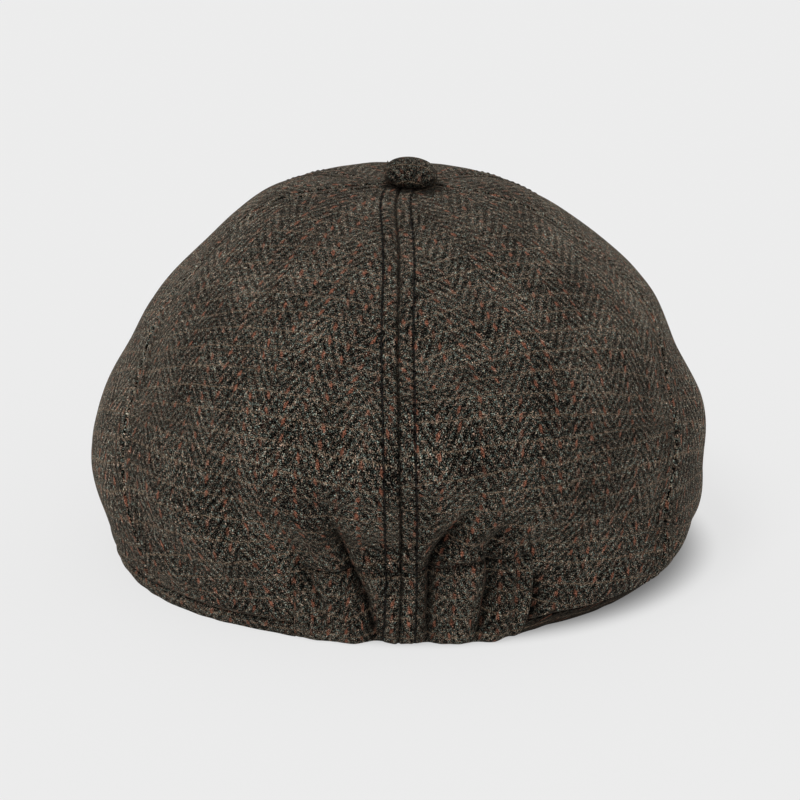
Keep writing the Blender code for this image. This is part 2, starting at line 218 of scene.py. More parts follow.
# The floor's glow in its painted shadow under and beside the cap; SHADE_SHIFT moves that painted shadow to
# the side
FLOOR_GLOW_IN_PAINTED_SHADOW = 0.15
FLOOR_SHADE = 0.15
SHADE_SHIFT = 0.013
ROOM_LIGHT = 0.68
KEY_STRENGTH = 1.25
KEY_SOFTNESS = 22.0
KEY_FROM = (0.52, 0.45, 1.3)
FLOOR_REACH = 30.0
CAMERA_PLACE = (-0.0007, 1.1413, 0.4685)
CAMERA_ELEVATION = 20.0
CAMERA_LENS = 155.25

# The rows of topstitching on the peak, from its edge
PEAK_ROWS_FROM_EDGE = (0.005, 0.011)

# The button from the middle of its top to its shank, as shares of its radius and its height
BUTTON_PROFILE = (
    (0.00, 1.000),
    (0.30, 0.985),
    (0.56, 0.910),
    (0.78, 0.770),
    (0.93, 0.570),
    (1.00, 0.330),
    (0.96, 0.100),
    (0.86, 0.000),
    (0.55, -0.100),
    (0.33, -0.450),
)

# Sections of the crown, evenly spaced along the rise: the height, the share of the opening, and the
# reaches to the left, right, back and front
SECTIONS = (
    (0.000, 1.00, 0.000, 0.000, 0.000, 0.000),
    (0.108, 0.20, 0.755, 0.830, 0.740, 0.740),
    (0.254, 0.00, 0.980, 1.000, 0.940, 0.980),
    (0.401, 0.00, 0.950, 0.970, 0.985, 1.000),
    (0.540, 0.00, 0.865, 0.890, 0.990, 0.980),
    (0.672, 0.00, 0.785, 0.818, 0.930, 0.915),
    (0.780, 0.00, 0.675, 0.697, 0.795, 0.810),
    (0.876, 0.00, 0.560, 0.540, 0.590, 0.665),
    (0.944, 0.00, 0.425, 0.370, 0.370, 0.490),
    (0.982, 0.00, 0.240, 0.185, 0.170, 0.290),
    (1.000, 0.00, 0.000, 0.000, 0.000, 0.000),
)

# The turns of the seams at evenly spaced rises
SEAM_COLUMNS = ("back", "side", "front")
SEAMS = (
    (-1.6, 56.0, 118.0),
    (-1.2, 58.5, 119.0),
    (-0.2, 71.5, 124.0),
    (1.2, 85.0, 131.0),
    (2.8, 89.5, 134.0),
    (12.0, 90.0, 135.0),
)

# Folds as lines over the crown: the turn, the rise, the depth and the width
FOLDS = {
    "elastic pull": (
        (25.0, 0.145, 0.10, 2.8),
        (16.0, 0.160, 0.42, 2.8),
        (-22.0, 0.170, 0.42, 2.8),
        (-32.0, 0.160, 0.10, 2.8),
    ),
    "fullness of the casing": (
        (19.0, 0.000, -0.15, 2.2),
        (12.0, 0.000, -0.60, 2.2),
        (-4.0, 0.000, -0.50, 2.2),
        (-18.0, 0.000, -1.15, 2.2),
        (-24.0, 0.000, -0.50, 2.2),
    ),
    "full lower edge on the right": (
        (-36.0, 0.070, -0.10, 2.6),
        (-46.0, 0.070, -0.20, 2.6),
        (-56.0, 0.070, -0.20, 2.6),
        (-68.0, 0.070, -0.10, 2.6),
    ),
    "left gather": (
        (14.6, 0.312, 0.08, 1.4),
        (12.0, 0.268, 0.45, 1.1),
        (10.0, 0.222, 0.80, 0.8),
        (8.6, 0.184, 0.85, 0.6),
        (7.0, 0.148, 0.90, 0.7),
        (4.8, 0.092, 1.00, 0.9),
        (2.6, 0.000, 0.80, 0.9),
    ),
    "outer left gather": (
        (19.5, 0.220, 0.10, 1.0),
        (17.0, 0.171, 0.35, 0.8),
        (15.0, 0.120, 0.45, 0.7),
        (13.0, 0.060, 0.40, 0.7),
        (11.5, 0.000, 0.20, 0.7),
    ),
    "right gather": (
        (-15.4, 0.308, 0.08, 1.4),
        (-13.4, 0.288, 0.40, 1.2),
        (-11.4, 0.261, 0.65, 1.0),
        (-9.6, 0.237, 0.80, 0.8),
        (-8.2, 0.210, 0.85, 0.7),
        (-6.8, 0.186, 0.85, 0.6),
        (-6.4, 0.147, 0.85, 0.6),
        (-6.6, 0.080, 0.80, 0.6),
        (-7.2, 0.000, 0.60, 0.6),
    ),
    "outer right gather": (
        (-24.0, 0.258, 0.08, 1.3),
        (-21.0, 0.252, 0.28, 1.1),
        (-18.8, 0.238, 0.42, 1.0),
        (-17.4, 0.212, 0.45, 0.8),
        (-16.8, 0.188, 0.50, 0.7),
        (-17.2, 0.155, 0.65, 0.7),
        (-17.3, 0.115, 0.75, 0.7),
        (-16.6, 0.055, 0.75, 0.7),
        (-16.2, 0.000, 0.60, 0.8),
    ),
    "fullness between the right gathers": (
        (-15.4, 0.180, -0.10, 1.0),
        (-14.0, 0.150, -0.32, 1.0),
        (-12.4, 0.115, -0.32, 1.0),
        (-11.4, 0.080, -0.10, 1.0),
    ),
    "crease beside the right end": (
        (-24.5, 0.185, 0.50, 0.9),
        (-28.5, 0.222, 0.10, 0.9),
    ),
    "soft hollow on the left": (
        (37.0, 0.295, 0.10, 2.2),
        (30.0, 0.254, 0.35, 2.2),
        (21.0, 0.215, 0.35, 1.8),
    ),
    "soft ridge on the left": (
        (54.0, 0.247, -0.10, 2.0),
        (42.0, 0.225, -0.40, 2.0),
        (31.0, 0.190, -0.45, 1.8),
        (21.0, 0.178, -0.25, 1.6),
    ),
}

GATHERS = (
    "left gather",
    "outer left gather",
    "right gather",
    "outer right gather",
    "crease beside the right end",
)

# Soft dents and swells of the worn cap: the turn, the rise, how far outwards, and how wide
DENTS = (
    (96.0, 0.625, -0.0022, 0.020),
    (96.0, 0.435, 0.0009, 0.016),
    (-98.0, 0.680, -0.0018, 0.028),
    (-86.0, 0.300, 0.0014, 0.018),
    (-77.0, 0.135, -0.0026, 0.018),
    (-33.0, 0.010, 0.0010, 0.014),
    (-160.0, 0.900, -0.0028, 0.020),
    (150.0, 0.900, -0.0017, 0.020),
)


def sum_of(operation, swapped=False):
    """An ordinary operator of Value, worked out by a Math node."""

    def work(self, *others):
        values = (*others, self) if swapped else (self, *others)
        return self.shop.add("ShaderNodeMath", {"operation": operation}, *values)

    return work


class Value:
    """A number that varies over a surface, written with ordinary operators."""

    def __init__(self, shop, socket):
        self.shop = shop
        self.socket = socket

    __add__ = sum_of("ADD")
    __radd__ = sum_of("ADD", swapped=True)
    __sub__ = sum_of("SUBTRACT")
    __rsub__ = sum_of("SUBTRACT", swapped=True)
    __mul__ = sum_of("MULTIPLY")
    __rmul__ = sum_of("MULTIPLY", swapped=True)
    __truediv__ = sum_of("DIVIDE")
    __mod__ = sum_of("FLOORED_MODULO")
    __pow__ = sum_of("POWER")
    __abs__ = sum_of("ABSOLUTE")
    floor = sum_of("FLOOR")
    cosine = sum_of("COSINE")
    most = sum_of("MAXIMUM")

    def wave(self):
        """A wave from -1 to 1 that repeats at each whole number and is highest there."""
        return (self * (2.0 * math.pi)).cosine()

    def ridge(self):
        """A rounded ridge from 0 to 1 between each whole number and the next."""
        return 1.0 - abs(self % 1.0 * 2.0 - 1.0) ** 2.0

    def between(self, low, high):
        """0 at low, 1 at high, with a soft step from one to the other."""
        settings = {"interpolation_type": "SMOOTHSTEP", "clamp": True}
        return self.shop.add("ShaderNodeMapRange", settings, self, low, high, 0.0, 1.0)


class Shop:
    """A material's node tree, with one way to add any node."""

    def __init__(self, name):
        self.material = bpy.data.materials.new(name)
        self.material.use_nodes = True
        self.nodes = self.material.node_tree.nodes
        self.links = self.material.node_tree.links
        self.shader = self.nodes["Principled BSDF"]

    def plug(self, socket, value):
        if isinstance(value, Value):
            self.links.new(value.socket, socket)
        elif value is not None:
            socket.default_value = value

    def add(self, kind, settings=None, *values, output=0, **named):
        """A node of a kind with its settings first, then the values or links of its sockets."""
        node = self.nodes.new(kind)
        for key, setting in (settings or {}).items():
            setattr(node, key, setting)
        for socket, value in zip(node.inputs, values):
            self.plug(socket, value)
        self.fill(node, named)
        return Value(self, node.outputs[output])

    def fill(self, node, sockets):
        """Values or links for the sockets of a node, by their names."""
        for key, value in sockets.items():
            self.plug(node.inputs[key.replace("_", " ")], value)

    def read(self, name, span):
        """The two numbers of one of the cloth's maps, times a span."""
        place = self.add("ShaderNodeUVMap", {"uv_map": name})
        first = self.add("ShaderNodeSeparateXYZ", None, place)
        second = Value(self, first.socket.node.outputs[1])
        return first * span, second * span

    def spot(self, x, y, z=0.0):
        return self.add("ShaderNodeCombineXYZ", None, x, y, z)

    def noise(self, x, y, layer, detail=2.0):
        """Soft unevenness around 0, different for each layer."""
        place = self.spot(x, y, layer * 10.0)
        look = {"Vector": place, "Scale": 1.0, "Detail": detail, "Roughness": 0.5}
        return self.add("ShaderNodeTexNoise", {"noise_dimensions": "3D"}, **look) - 0.5

    def random(self, x, y):
        """A number from 0 to 1 that is different for each whole place."""
        return self.add("ShaderNodeTexWhiteNoise", {"noise_dimensions": "2D"}, Vector=self.spot(x, y))

    def mix(self, factor, first, second, blend="MIX"):
        """One colour turning into another."""
        settings = {"data_type": "RGBA", "blend_type": blend, "clamp_factor": True}
        node = self.add("ShaderNodeMix", settings, output=2).socket.node
        self.plug(node.inputs[0], factor)
        self.plug(node.inputs[6], first)
        self.plug(node.inputs[7], second)
        return Value(self, node.outputs[2])

    def toned(self, colour, tone):
        """A colour made lighter or darker."""
        return self.mix(1.0, colour, self.spot(tone, tone, tone), "MULTIPLY")

    def bump(self, height, distance, strength=1.0):
        return self.add("ShaderNodeBump", None, Strength=strength, Distance=distance, Height=height)

    def finish(self, colour, roughness, normal, sheen=0.0):
        """A matt surface, with a sheen where it is fluffy."""
        surface = {"Base Color": colour, "Roughness": roughness, "Normal": normal}
        fluff = {"Sheen Weight": sheen, "Sheen Roughness": 0.15, "Sheen Tint": SHEEN_TINT}
        self.fill(self.shader, surface | fluff | {"Specular IOR Level": 0.04})
        return self.material


def herringbone(name, lightness=1.0, rusty=1.0):
    """Brushed wool herringbone: light lines on dark under a hairy nap, with rust ends and tan picks."""
    shop = Shop(name)
    across, along = shop.read("grain", UV_SPAN * 1000.0)
    from_seam, from_edge = shop.read("sewing", UV_SPAN * 1000.0)
    # The painted shade, and the painted sheen at the sides, from the cloth's maps
    painted_shade, painted_sheen_and_edge_fade = shop.read("painted_shade", 1.0)

    def noise(over, up, layer, detail=2.0):
        return shop.noise(across * over, along * up, layer, detail)

    # The cloth's own grain, which wanders a little
    across = across + noise(0.06, 0.06, 1.0) * 2.4
    along = along + noise(0.05, 0.05, 2.0) * 2.4
    end = across / END_PITCH + noise(0.9, 0.30, 3.0) * 1.1
    pick = along / PICK_PITCH + noise(0.30, 0.9, 4.0) * 1.1
    mirrored = (end / COLUMN_ENDS).floor() % 2.0
    slant = 1.0 - 2.0 * mirrored
    turn = (end * slant + pick + 2.0 * mirrored) * 0.25
    twill = turn.wave()
    warp_up = twill.between(-0.35, 0.35)
    yarn = warp_up * end.ridge() + (1.0 - warp_up) * pick.ridge() * 0.6

    # Fibres: along the light and dark lines, along each yarn, in clumps and as loose hairs
    beside_line = across * TWILL_COSINE + along * slant * TWILL_SINE
    down_line = along * TWILL_COSINE - across * slant * TWILL_SINE
    stroke = shop.noise(beside_line * 0.55, down_line * 0.22, 16.0)
    streak = shop.noise(beside_line * 1.3, down_line * 0.55, 5.0)
    warp_fibre = noise(2.4, 0.9, 6.0)
    weft_fibre = noise(0.9, 2.4, 7.0)
    fibre = warp_up * warp_fibre + (1.0 - warp_up) * weft_fibre
    speckle = noise(2.9, 2.7, 8.0, 1.0)
    clump = noise(0.90, 0.72, 9.0)
    cloud = noise(0.05, 0.05, 10.0)
    hairs = 0.0
    for layer, over, up in ((11.0, 0.60, 0.30), (12.0, 0.32, 0.62), (13.0, 0.45, 0.45)):
        curl = noise(over, up, layer)
        broken = noise(0.7, 0.7, layer + 10.0, 0.0)
        hairs = abs(curl).between(0.022, 0.004) * broken.between(0.00, 0.12) + hairs

    tone = MID_TONE + twill * (stroke * 0.22 + 0.086) + (yarn - 0.5) * 0.05 + streak * 0.24
    tone = tone + fibre * 0.48 + speckle * 2.15 + clump * 0.70 + cloud * 0.35 + hairs * 0.24
    pick_band = abs(along % TAN_PICK_SPACING - TAN_PICK_SPACING / 2.0).between(1.5, 0.2)
    pick_band = pick_band * (weft_fibre + clump).between(-0.25, 0.15)
    glint = noise(2.3, 2.0, 24.0, 0.0).between(0.14, 0.30)
    tone = tone + glint * 0.28 + (pick_band - 0.2) * 0.090

    # Sewing, painted darker: painted shade in the seam's groove, dark stitches with the painted shade of
    # their dents in the row beside it, and painted shade along a turned edge with its row of stitches
    dash, edge_dash = [abs(way % 3.0 - 1.5).between(1.35, 1.0) * 0.45 + 0.55 for way in (along, across)]
    seam = from_seam.between(0.85, 0.25)
    row = abs(from_seam - topstitch_distance * 1000.0).between(0.62, 0.24) * dash
    turned_row = abs(from_edge - turned_row_distance * 1000.0).between(0.5, 0.2) * edge_dash * 0.7
    turned_edge = from_edge.between(0.5, 0.1).most(turned_row)
    sewn = (seam * 0.58).most(row * 0.78).most(turned_edge * 0.66)
    # Painted shade at the sewing and down in the gathers, and a painted sheen that lightens the cloth at
    # the sides
    tone = tone * (1.0 - sewn * 0.72) * (1.0 - painted_shade * 0.50)
    tone = tone.most(0.035) ** 2.2 * (painted_sheen_and_edge_fade * PAINTED_SIDE_SHEEN + 1.0) * lightness

    warm = noise(1.2, 1.0, 14.0).between(-0.11, 0.11)
    khaki = noise(1.6, 1.2, 15.0).between(0.00, 0.16)
    hue = shop.mix(khaki * 0.8, shop.mix(warm, COOL_WOOL, WARM_WOOL), KHAKI_WOOL)
    cloth = shop.toned(hue, tone)

    # Rust ends, which show as flecks where they lie on top, and thin tan picks
    rust_end = (end / RUST_END_EVERY).floor()
    beside_end = end % RUST_END_EVERY - RUST_END_EVERY / 2.0
    rust_turn = (pick + beside_end * slant * 0.70) * 0.25 + shop.random(rust_end, 7.0)
    fleck = shop.random(rust_end, (rust_turn + 0.5).floor()).between(-0.10, 0.90)
    fleck = fleck * abs(beside_end + speckle * 1.6).between(0.95, 0.35) * rusty
    fleck = fleck * (rust_turn.wave() + fibre * 1.2).between(-0.05, 0.70) * (1.0 - painted_shade * 0.5)
    fleck = fleck * (streak + speckle).between(-0.34, -0.04) * (1.0 - sewn)
    rust = shop.toned(RUST, (0.66 + speckle * 4.0 + fibre * 1.6 + glint * 0.9 + hairs * 0.6).most(0.08))
    cloth = shop.mix(fleck * 0.88, cloth, rust)
    tan_place = (along + clump * 0.6) % TAN_PICK_SPACING - TAN_PICK_SPACING / 2.0
    tan_pick = abs(tan_place).between(0.42, 0.12) * (1.0 - sewn)
    tan_pick = tan_pick * (weft_fibre + clump * 0.6 + speckle * 1.2).between(-0.14, 0.18)
    cloth = shop.mix(tan_pick * 0.78, cloth, shop.toned(TAN, (0.76 + speckle * 3.4).most(0.12)))

    nap = yarn * 0.5 + speckle * 2.2 + fibre * 1.6 + streak * 1.0 + hairs * 0.5 - sewn * 0.8
    return shop.finish(cloth, 0.95, shop.bump(nap, 0.00028, 0.8), 0.10)


def sewing_thread(name, dark, light):
    """Matt twisted sewing thread."""
    shop = Shop(name)
    place = shop.add("ShaderNodeTexCoord", None, output=3)
    twist = shop.add("ShaderNodeTexNoise", None, Vector=place, Scale=2500.0, Detail=1.0)
    colour = shop.mix(twist, dark, light)
    return shop.finish(colour, 0.85, shop.bump(twist, 0.0001, 0.5))


def smooth(value):
    """A soft step from 0 to 1."""
    value = np.clip(value, 0.0, 1.0)
    return value * value * (3.0 - 2.0 * value)


def hill(place):
    """1 at 0, falling away softly on both sides."""
    return np.exp(-(place**2))


def even(count):
    """Evenly spaced shares from 0 to 1."""
    return np.linspace(0.0, 1.0, count)


def beat(along, depth):
    """How deep a row of stitches pulls in along its way, from 1 down to 1 less twice the depth."""
    return 1.0 - depth + depth * np.cos(2.0 * math.pi * along / stitch_pitch)


def length(vectors):
    return np.linalg.norm(vectors, axis=-1)


def unit(vectors):
    return vectors / length(vectors)[..., None]


def matched(turn, rise):
    """Turns and rises as grids of the same shape."""
    return np.broadcast_arrays(np.asarray(turn, float), np.asarray(rise, float))


def from_back(turn):
    """The turn from the middle of the back, from -180 to 180."""
    return (turn + 180.0) % 360.0 - 180.0


def through_rows(rows, position):
    """A smooth curve through evenly spaced rows, at a position from 0 to 1."""
    steps = len(rows) - 3
    place = np.clip(np.asarray(position, float), 0.0, 1.0) * steps
    index = np.minimum(np.floor(place).astype(int), steps - 1)
    part = (place - index)[..., None]
    before, here, after, beyond = rows[index], rows[index + 1], rows[index + 2], rows[index + 3]
    square = 2.0 * before - 5.0 * here + 4.0 * after - beyond
    cube = 3.0 * here - before - 3.0 * after + beyond
    return 0.5 * (2.0 * here + (after - before) * part + square * part**2 + cube * part**3)


def with_end_rows(rows, past=None):
    """A table of rows with one row added before its start and one past its end."""
    rows = [np.array(row) for row in rows]
    before = 2.0 * rows[0] - rows[1]
    past = 2.0 * rows[-1] - rows[-2] if past is None else rows[-2] * np.array(past)
    return np.array([before] + rows + [past])


SECTION_ROWS = with_end_rows(SECTIONS, (1.0, 0.0, -1.0, -1.0, -1.0, -1.0))
SEAM_ROWS = with_end_rows(SEAMS)


def section(rise):
    """The section's columns at a rise."""
    return np.moveaxis(through_rows(SECTION_ROWS, rise), -1, 0)


def rise_at_height(height):
    """The rise where the crown reaches a height above its hem."""
    table = even(2001)
    return np.interp(np.asarray(height) / crown_height, section(table)[0], table)


def hem_lift(turn):
    """The height of the opening's edge, which lifts over the peak."""
    away = np.abs(from_back(np.asarray(turn, float)))
    return front_lift * smooth((away - front_lift_start) / (180.0 - front_lift_start))


def seam_turn(which, rise):
    """The turn of one of the seams at a rise, as seen on the left side."""
    return through_rows(SEAM_ROWS, rise)[..., SEAM_COLUMNS.index(which)]


def crown_base(turn, rise):
    """The crown's outer surface without its folds."""
    turn, rise = matched(turn, rise)
    height, opening, left, right, back, front = section(rise)
    angle = np.radians(turn)
    across, along = np.sin(angle), np.cos(angle)
    wide = opening * opening_half_width + np.where(across >= 0.0, left, right) * crown_half_width
    reach = np.where(along >= 0.0, back * crown_back_reach, front * crown_front_reach)
    deep = opening * opening_half_length + reach
    full = 1.0 + opening_fullness * opening * (1.0 - np.cos(4.0 * angle)) / 2.0
    x = opening_shift - crown_lean * height + wide * full * across
    y = -crown_forward * height + deep * full * along
    z = height * crown_height + hem_lift(turn) * (1.0 - smooth(height / hem_lift_fade))
    return np.stack([x, y, z], axis=-1)


def crown_outward(turn, rise):
    """The outward direction of the crown, level at the edge of the opening."""
    step_turn, step_rise = 0.4, 0.002
    rise = np.asarray(rise, float)
    above, below = np.clip(rise + step_rise, 0.0, 1.0), np.clip(rise - step_rise, 0.0, 1.0)
    around = crown_base(turn + step_turn, rise) - crown_base(turn - step_turn, rise)
    up = crown_base(turn, above) - crown_base(turn, below)
    out = np.cross(up, around)
    out[..., 2] *= smooth(rise / upright_rise)
    return unit(out)


def fold_path(points):
    """Close places along a fold: how far round and up the crown, and the depth and width there."""
    rows = with_end_rows(points)
    places = through_rows(rows, even(12 * (len(points) - 1) + 1))
    around = np.radians(places[:, 0]) * crown_back_reach
    return around, places[:, 1] * panel_length, places[:, 2], places[:, 3] * fold_width


def fold_shape(around, up, points):
    """The distance from a fold at places on the crown, with the fold's depth and width there."""
    path_around, path_up, path_depth, path_width = fold_path(points)
    steps = np.hypot(np.diff(path_around), np.diff(path_up))
    share = (np.append(steps, 0.0) + np.insert(steps, 0, 0.0)) / 2.0
    square = (around[..., None] - path_around) ** 2 + (up[..., None] - path_up) ** 2
    nearest = square.min(axis=-1)
    weight = share * np.exp((nearest[..., None] - square) / fold_softness**2)
    total = weight.sum(axis=-1)
    depth = (weight * path_depth).sum(axis=-1) / total
    width = (weight * path_width).sum(axis=-1) / total
    away = nearest - fold_softness**2 * np.log(total / (fold_softness * math.sqrt(math.pi)))
    return np.sqrt(np.maximum(away, 0.0)), depth, width


def over_folds(turn, rise, names, shape):
    """The sum of a shape along each of the named folds. shape(distance, depth, width) gives it."""
    turn, rise = matched(turn, rise)
    around = np.radians(from_back(turn)) * crown_back_reach
    up = rise * panel_length
    total = np.zeros(turn.shape)
    for name in names:
        table = np.array(FOLDS[name])
        reach = 3.5 * fold_width * table[:, 3].max()
        edge = np.radians(table[:, 0]) * crown_back_reach
        near = (around > edge.min() - reach) & (around < edge.max() + reach)
        near &= up < (table[:, 1] * panel_length).max() + reach
        if near.any():
            total[near] += shape(*fold_shape(around[near], up[near], FOLDS[name]))
    return total


def fold_relief(turn, rise):
    """How far the folds move the surface outwards, with shoulders beside each."""

    def shoulder(away):
        return fold_shoulder_depth * np.exp(-fold_shoulder_tightness * (away - fold_shoulder_place) ** 2)

    def dent(distance, depth, width):
        away = distance / width
        return fold_depth * depth * (hill(away) - shoulder(away))

    def pinch(distance, depth, width):
        away = distance / width
        valley = np.exp(-gather_sharpness * (np.sqrt(away**2 + 0.04) - 0.2))
        return fold_depth * gather_depth * depth * (valley - shoulder(away))

    soft = [name for name in FOLDS if name not in GATHERS]
    return -over_folds(turn, rise, soft, dent) - over_folds(turn, rise, GATHERS, pinch)


def crease_relief(turn, rise):
    """The sharp crease at the bottom of each gather."""

    def crease(distance, depth, width):
        return crease_depth * smooth(depth) * hill(distance / crease_width)

    return -over_folds(turn, rise, GATHERS, crease)


def painted_crease_shade(turn, rise):
    """Painted shade down in the gathers: how deep in a gather a place lies, from 0 to 1."""

    def painted_shade(distance, depth, width):
        narrow, wide = hill(distance / hollow_width), hill(distance / (2.5 * hollow_width))
        return smooth(depth) * (0.75 * narrow + 0.25 * wide)

    return np.clip(over_folds(turn, rise, GATHERS, painted_shade), 0.0, 1.0)


def panel_relief(turn, rise):
    """How far a panel swells between its seams."""
    turn, rise = matched(turn, rise)
    around = from_back(turn)
    away = np.abs(around)
    back = seam_turn("back", rise)
    side, front = seam_turn("side", rise), seam_turn("front", rise)
    on_back = np.where(around > back, around - back, back - around)
    reach = np.where(around > back, side - back, side + back)
    away = np.where(away < side, on_back / reach * side, away)
    start = np.where(away < side, 0.0, np.where(away < front, side, front))
    end = np.where(away < side, side, np.where(away < front, front, 180.0))
    part = np.clip((away - start) / (end - start), 0.0, 1.0)
    swell = (4.0 * part * (1.0 - part)) ** panel_swell_bluntness
    fade = smooth(rise / panel_swell_start) * smooth((1.0 - rise) / panel_swell_end)
    return panel_fullness * swell * fade


def dent_relief(base):
    """How far the soft dents and swells move places of the crown outwards."""
    total = np.zeros(base.shape[:-1])
    for turn, rise, outward, width in DENTS:
        square = ((base - crown_base(turn, rise)) ** 2).sum(axis=-1)
        total += outward * np.exp(-square / width**2)
    return total


def cap_middle():
    """The shift from the opening's own axes to the frame, read from the hem strip's box."""
    low, high = [np.array(corner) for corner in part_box("rim_band")]
    turns = np.linspace(0.0, 360.0, 1441)
    edge = crown_base(turns, rise_at_height(hem_height))
    edge_middle = (edge[:, 0].min() + edge[:, 0].max()) / 2.0
    return np.array([(low[0] + high[0]) / 2.0 - edge_middle, low[1] - edge[:, 1].min(), 0.0])


MIDDLE = cap_middle()


def crown_point(turn, rise, outward=0.0):
    """A point of the crown with its folds, moved outwards, in the frame."""
    turn, rise = matched(turn, rise)
    base = crown_base(turn, rise)
    move = fold_relief(turn, rise) + panel_relief(turn, rise) + dent_relief(base) + outward
    return base + crown_outward(turn, rise) * np.asarray(move)[..., None] + MIDDLE


def cloth_wall(name, outer, inner, maps, material, keep=None):
    """A closed wall of cloth between two grids of points, row by row upwards."""
    rows, columns = outer.shape[:2]
    count = rows * columns
    points = np.concatenate([outer.reshape(count, 3), inner.reshape(count, 3)])
    row, column = np.meshgrid(np.arange(rows - 1), np.arange(columns - 1), indexing="ij")
    low_left = row * columns + column
    cells = np.stack([low_left, low_left + columns, low_left + columns + 1, low_left + 1], axis=-1)
    if keep is not None:
        cells = cells[keep]
    cells = cells.reshape(-1, 4)
    starts = cells.ravel().astype(np.int64)
    ends = np.roll(cells, -1, axis=1).ravel().astype(np.int64)
    open_edge = ~np.isin(ends * count + starts, starts * count + ends)
    start, end = starts[open_edge], ends[open_edge]
    sides = np.stack([end, start, start + count, end + count], axis=-1)
    faces = np.concatenate([cells, cells[:, ::-1] + count, sides])
    used, renumbered = np.unique(faces, return_inverse=True)
    both = {key: np.concatenate([values.reshape(count, 2)] * 2)[used] for key, values in maps.items()}
    return cloth_mesh(name, points[used], renumbered.reshape(faces.shape), both, material)


def cloth_maps(grain, from_seam=far_away, from_edge=far_away, painted_shade=0.0, painted_sheen_and_edge_fade=0.0):
    """The cloth's maps: the place on its grain, the distance from its sewing, and its painted shade, in
    gathers and elsewhere, with its painted sheen at the sides.
    """
    shape = grain.shape[:-1]
    sewing = [np.broadcast_to(distance, shape) / UV_SPAN for distance in (from_seam, from_edge)]
    shares = [np.broadcast_to(share, shape) for share in (painted_shade, painted_sheen_and_edge_fade)]
    return {
        "grain": grain / UV_SPAN,
        "sewing": np.stack(sewing, axis=-1),
        "painted_shade": np.stack(shares, axis=-1),
    }


def cloth_mesh(name, points, faces, maps, material):
    """A smooth mesh that carries the cloth's maps."""
    mesh = bpy.data.meshes.new(name)
    mesh.vertices.add(len(points))
    mesh.vertices.foreach_set("co", np.asarray(points, np.float32).ravel())
    mesh.loops.add(faces.size)
    mesh.loops.foreach_set("vertex_index", faces.ravel().astype(np.int32))
    mesh.polygons.add(len(faces))
    mesh.polygons.foreach_set("loop_start", np.arange(0, faces.size, faces.shape[1], dtype=np.int32))
    mesh.update(calc_edges=True)
    mesh.validate()
    for key, values in maps.items():
        layer = mesh.uv_layers.new(name=key)
        layer.data.foreach_set("uv", values[faces.ravel()].astype(np.float32).ravel())
    mesh.shade_smooth()
    mesh.materials.append(material)
    return in_scene(name, mesh)


def in_scene(name, data):
    """A new object of the scene with some data."""
    item = bpy.data.objects.new(name, data)
    bpy.context.scene.collection.objects.link(item)
    return item


def crowded(cells, ease):
    """Shares from 0 to 1 that lie closer together towards both ends."""
    shares = even(cells + 1)
    return shares - ease * np.sin(2.0 * math.pi * shares) / (2.0 * math.pi)


def casing_top(turn):
    """The height of the casing's top edge, higher on the right of its inner gather."""
    step = (-np.asarray(turn, float) - casing_step_start) / (casing_step_end - casing_step_start)
    return casing_height + casing_right_extra_height * smooth(step)


def beside_casing(turn, rise):
    """The distance from the nearer end of the casing at places beside it."""
    away = np.radians(np.where(turn > 0.0, turn - left_end, right_end - turn)) * opening_half_length
    over = rise * panel_length - casing_top(turn)
    return np.hypot(np.maximum(away, 0.0), np.maximum(over, 0.0)) + np.where(over > 0.0, far_away, 0.0)


def lengths_along(points, axis):
    """The length along each row or column of a grid of points."""
    steps = length(np.diff(points, axis=axis))
    shape = list(steps.shape)
    shape[axis] = 1
    return np.concatenate([np.zeros(shape), np.cumsum(steps, axis=axis)], axis=axis)


def seam_distance(base):
    """Distances from the first and last column of a grid, square to those columns."""
    along = lengths_along(base, 1)
    first = along * slant_of(base[:, 0], base[:, 1] - base[:, 0])[:, None]
    last = (along[:, -1:] - along) * slant_of(base[:, -1], base[:, -1] - base[:, -2])[:, None]
    return first, last


def slant_of(line, across):
    """How square a row's first step stands to the seam it starts from, from 0 to 1."""
    up = np.gradient(line, axis=0)
    return length(np.cross(up, across)) / np.maximum(length(up) * length(across), 1e-12)


def seam_relief(distance, along):
    """The seam's groove, its thicker allowance and the row of topstitching beside it."""
    groove = -seam_groove_depth * hill(distance / seam_groove_width)
    inside = (allowance_width - distance) / (allowance_width - topstitch_distance)
    row = -topstitch_depth * beat(along, 0.3) * hill((distance - topstitch_distance) / topstitch_width)
    return groove + allowance_height * smooth(inside) + row


def cloth_unevenness(grain):
    """Slow swells of soft cloth that isn't quite smooth."""
    u, v = grain[..., 0] * 1000.0, grain[..., 1] * 1000.0
    slow = np.sin(u / 9.0 + 2.0 * np.sin(v / 23.0)) * np.sin(v / 13.0 + 1.5 * np.sin(u / 17.0))
    quick = np.sin(u / 4.1 + np.sin(v / 7.0) * 1.3 + 1.0) * np.sin(v / 5.3 + np.sin(u / 6.1) * 1.7)
    return 0.00028 * slow + 0.00009 * quick


def panel_grain(base, middle):
    """The place on the cloth, whose grain runs along the panel's middle line."""
    lengths = lengths_along(middle[:, None], 0)[:, 0]
    grain = np.zeros(base.shape[:2] + (2,))
    tangent = unit(np.gradient(middle, axis=0))
    for row in range(base.shape[0]):
        for block in np.array_split(np.arange(base.shape[1]), 4):
            points = base[row, block]
            gap = points[:, None] - middle[None]
            nearest = (gap**2).sum(axis=-1).argmin(axis=-1)
            gap = gap[np.arange(len(block)), nearest]
            grain[row, block, 1] = lengths[nearest] + (gap * tangent[nearest]).sum(axis=-1)
            grain[row, block, 0] = length(gap)
    return grain


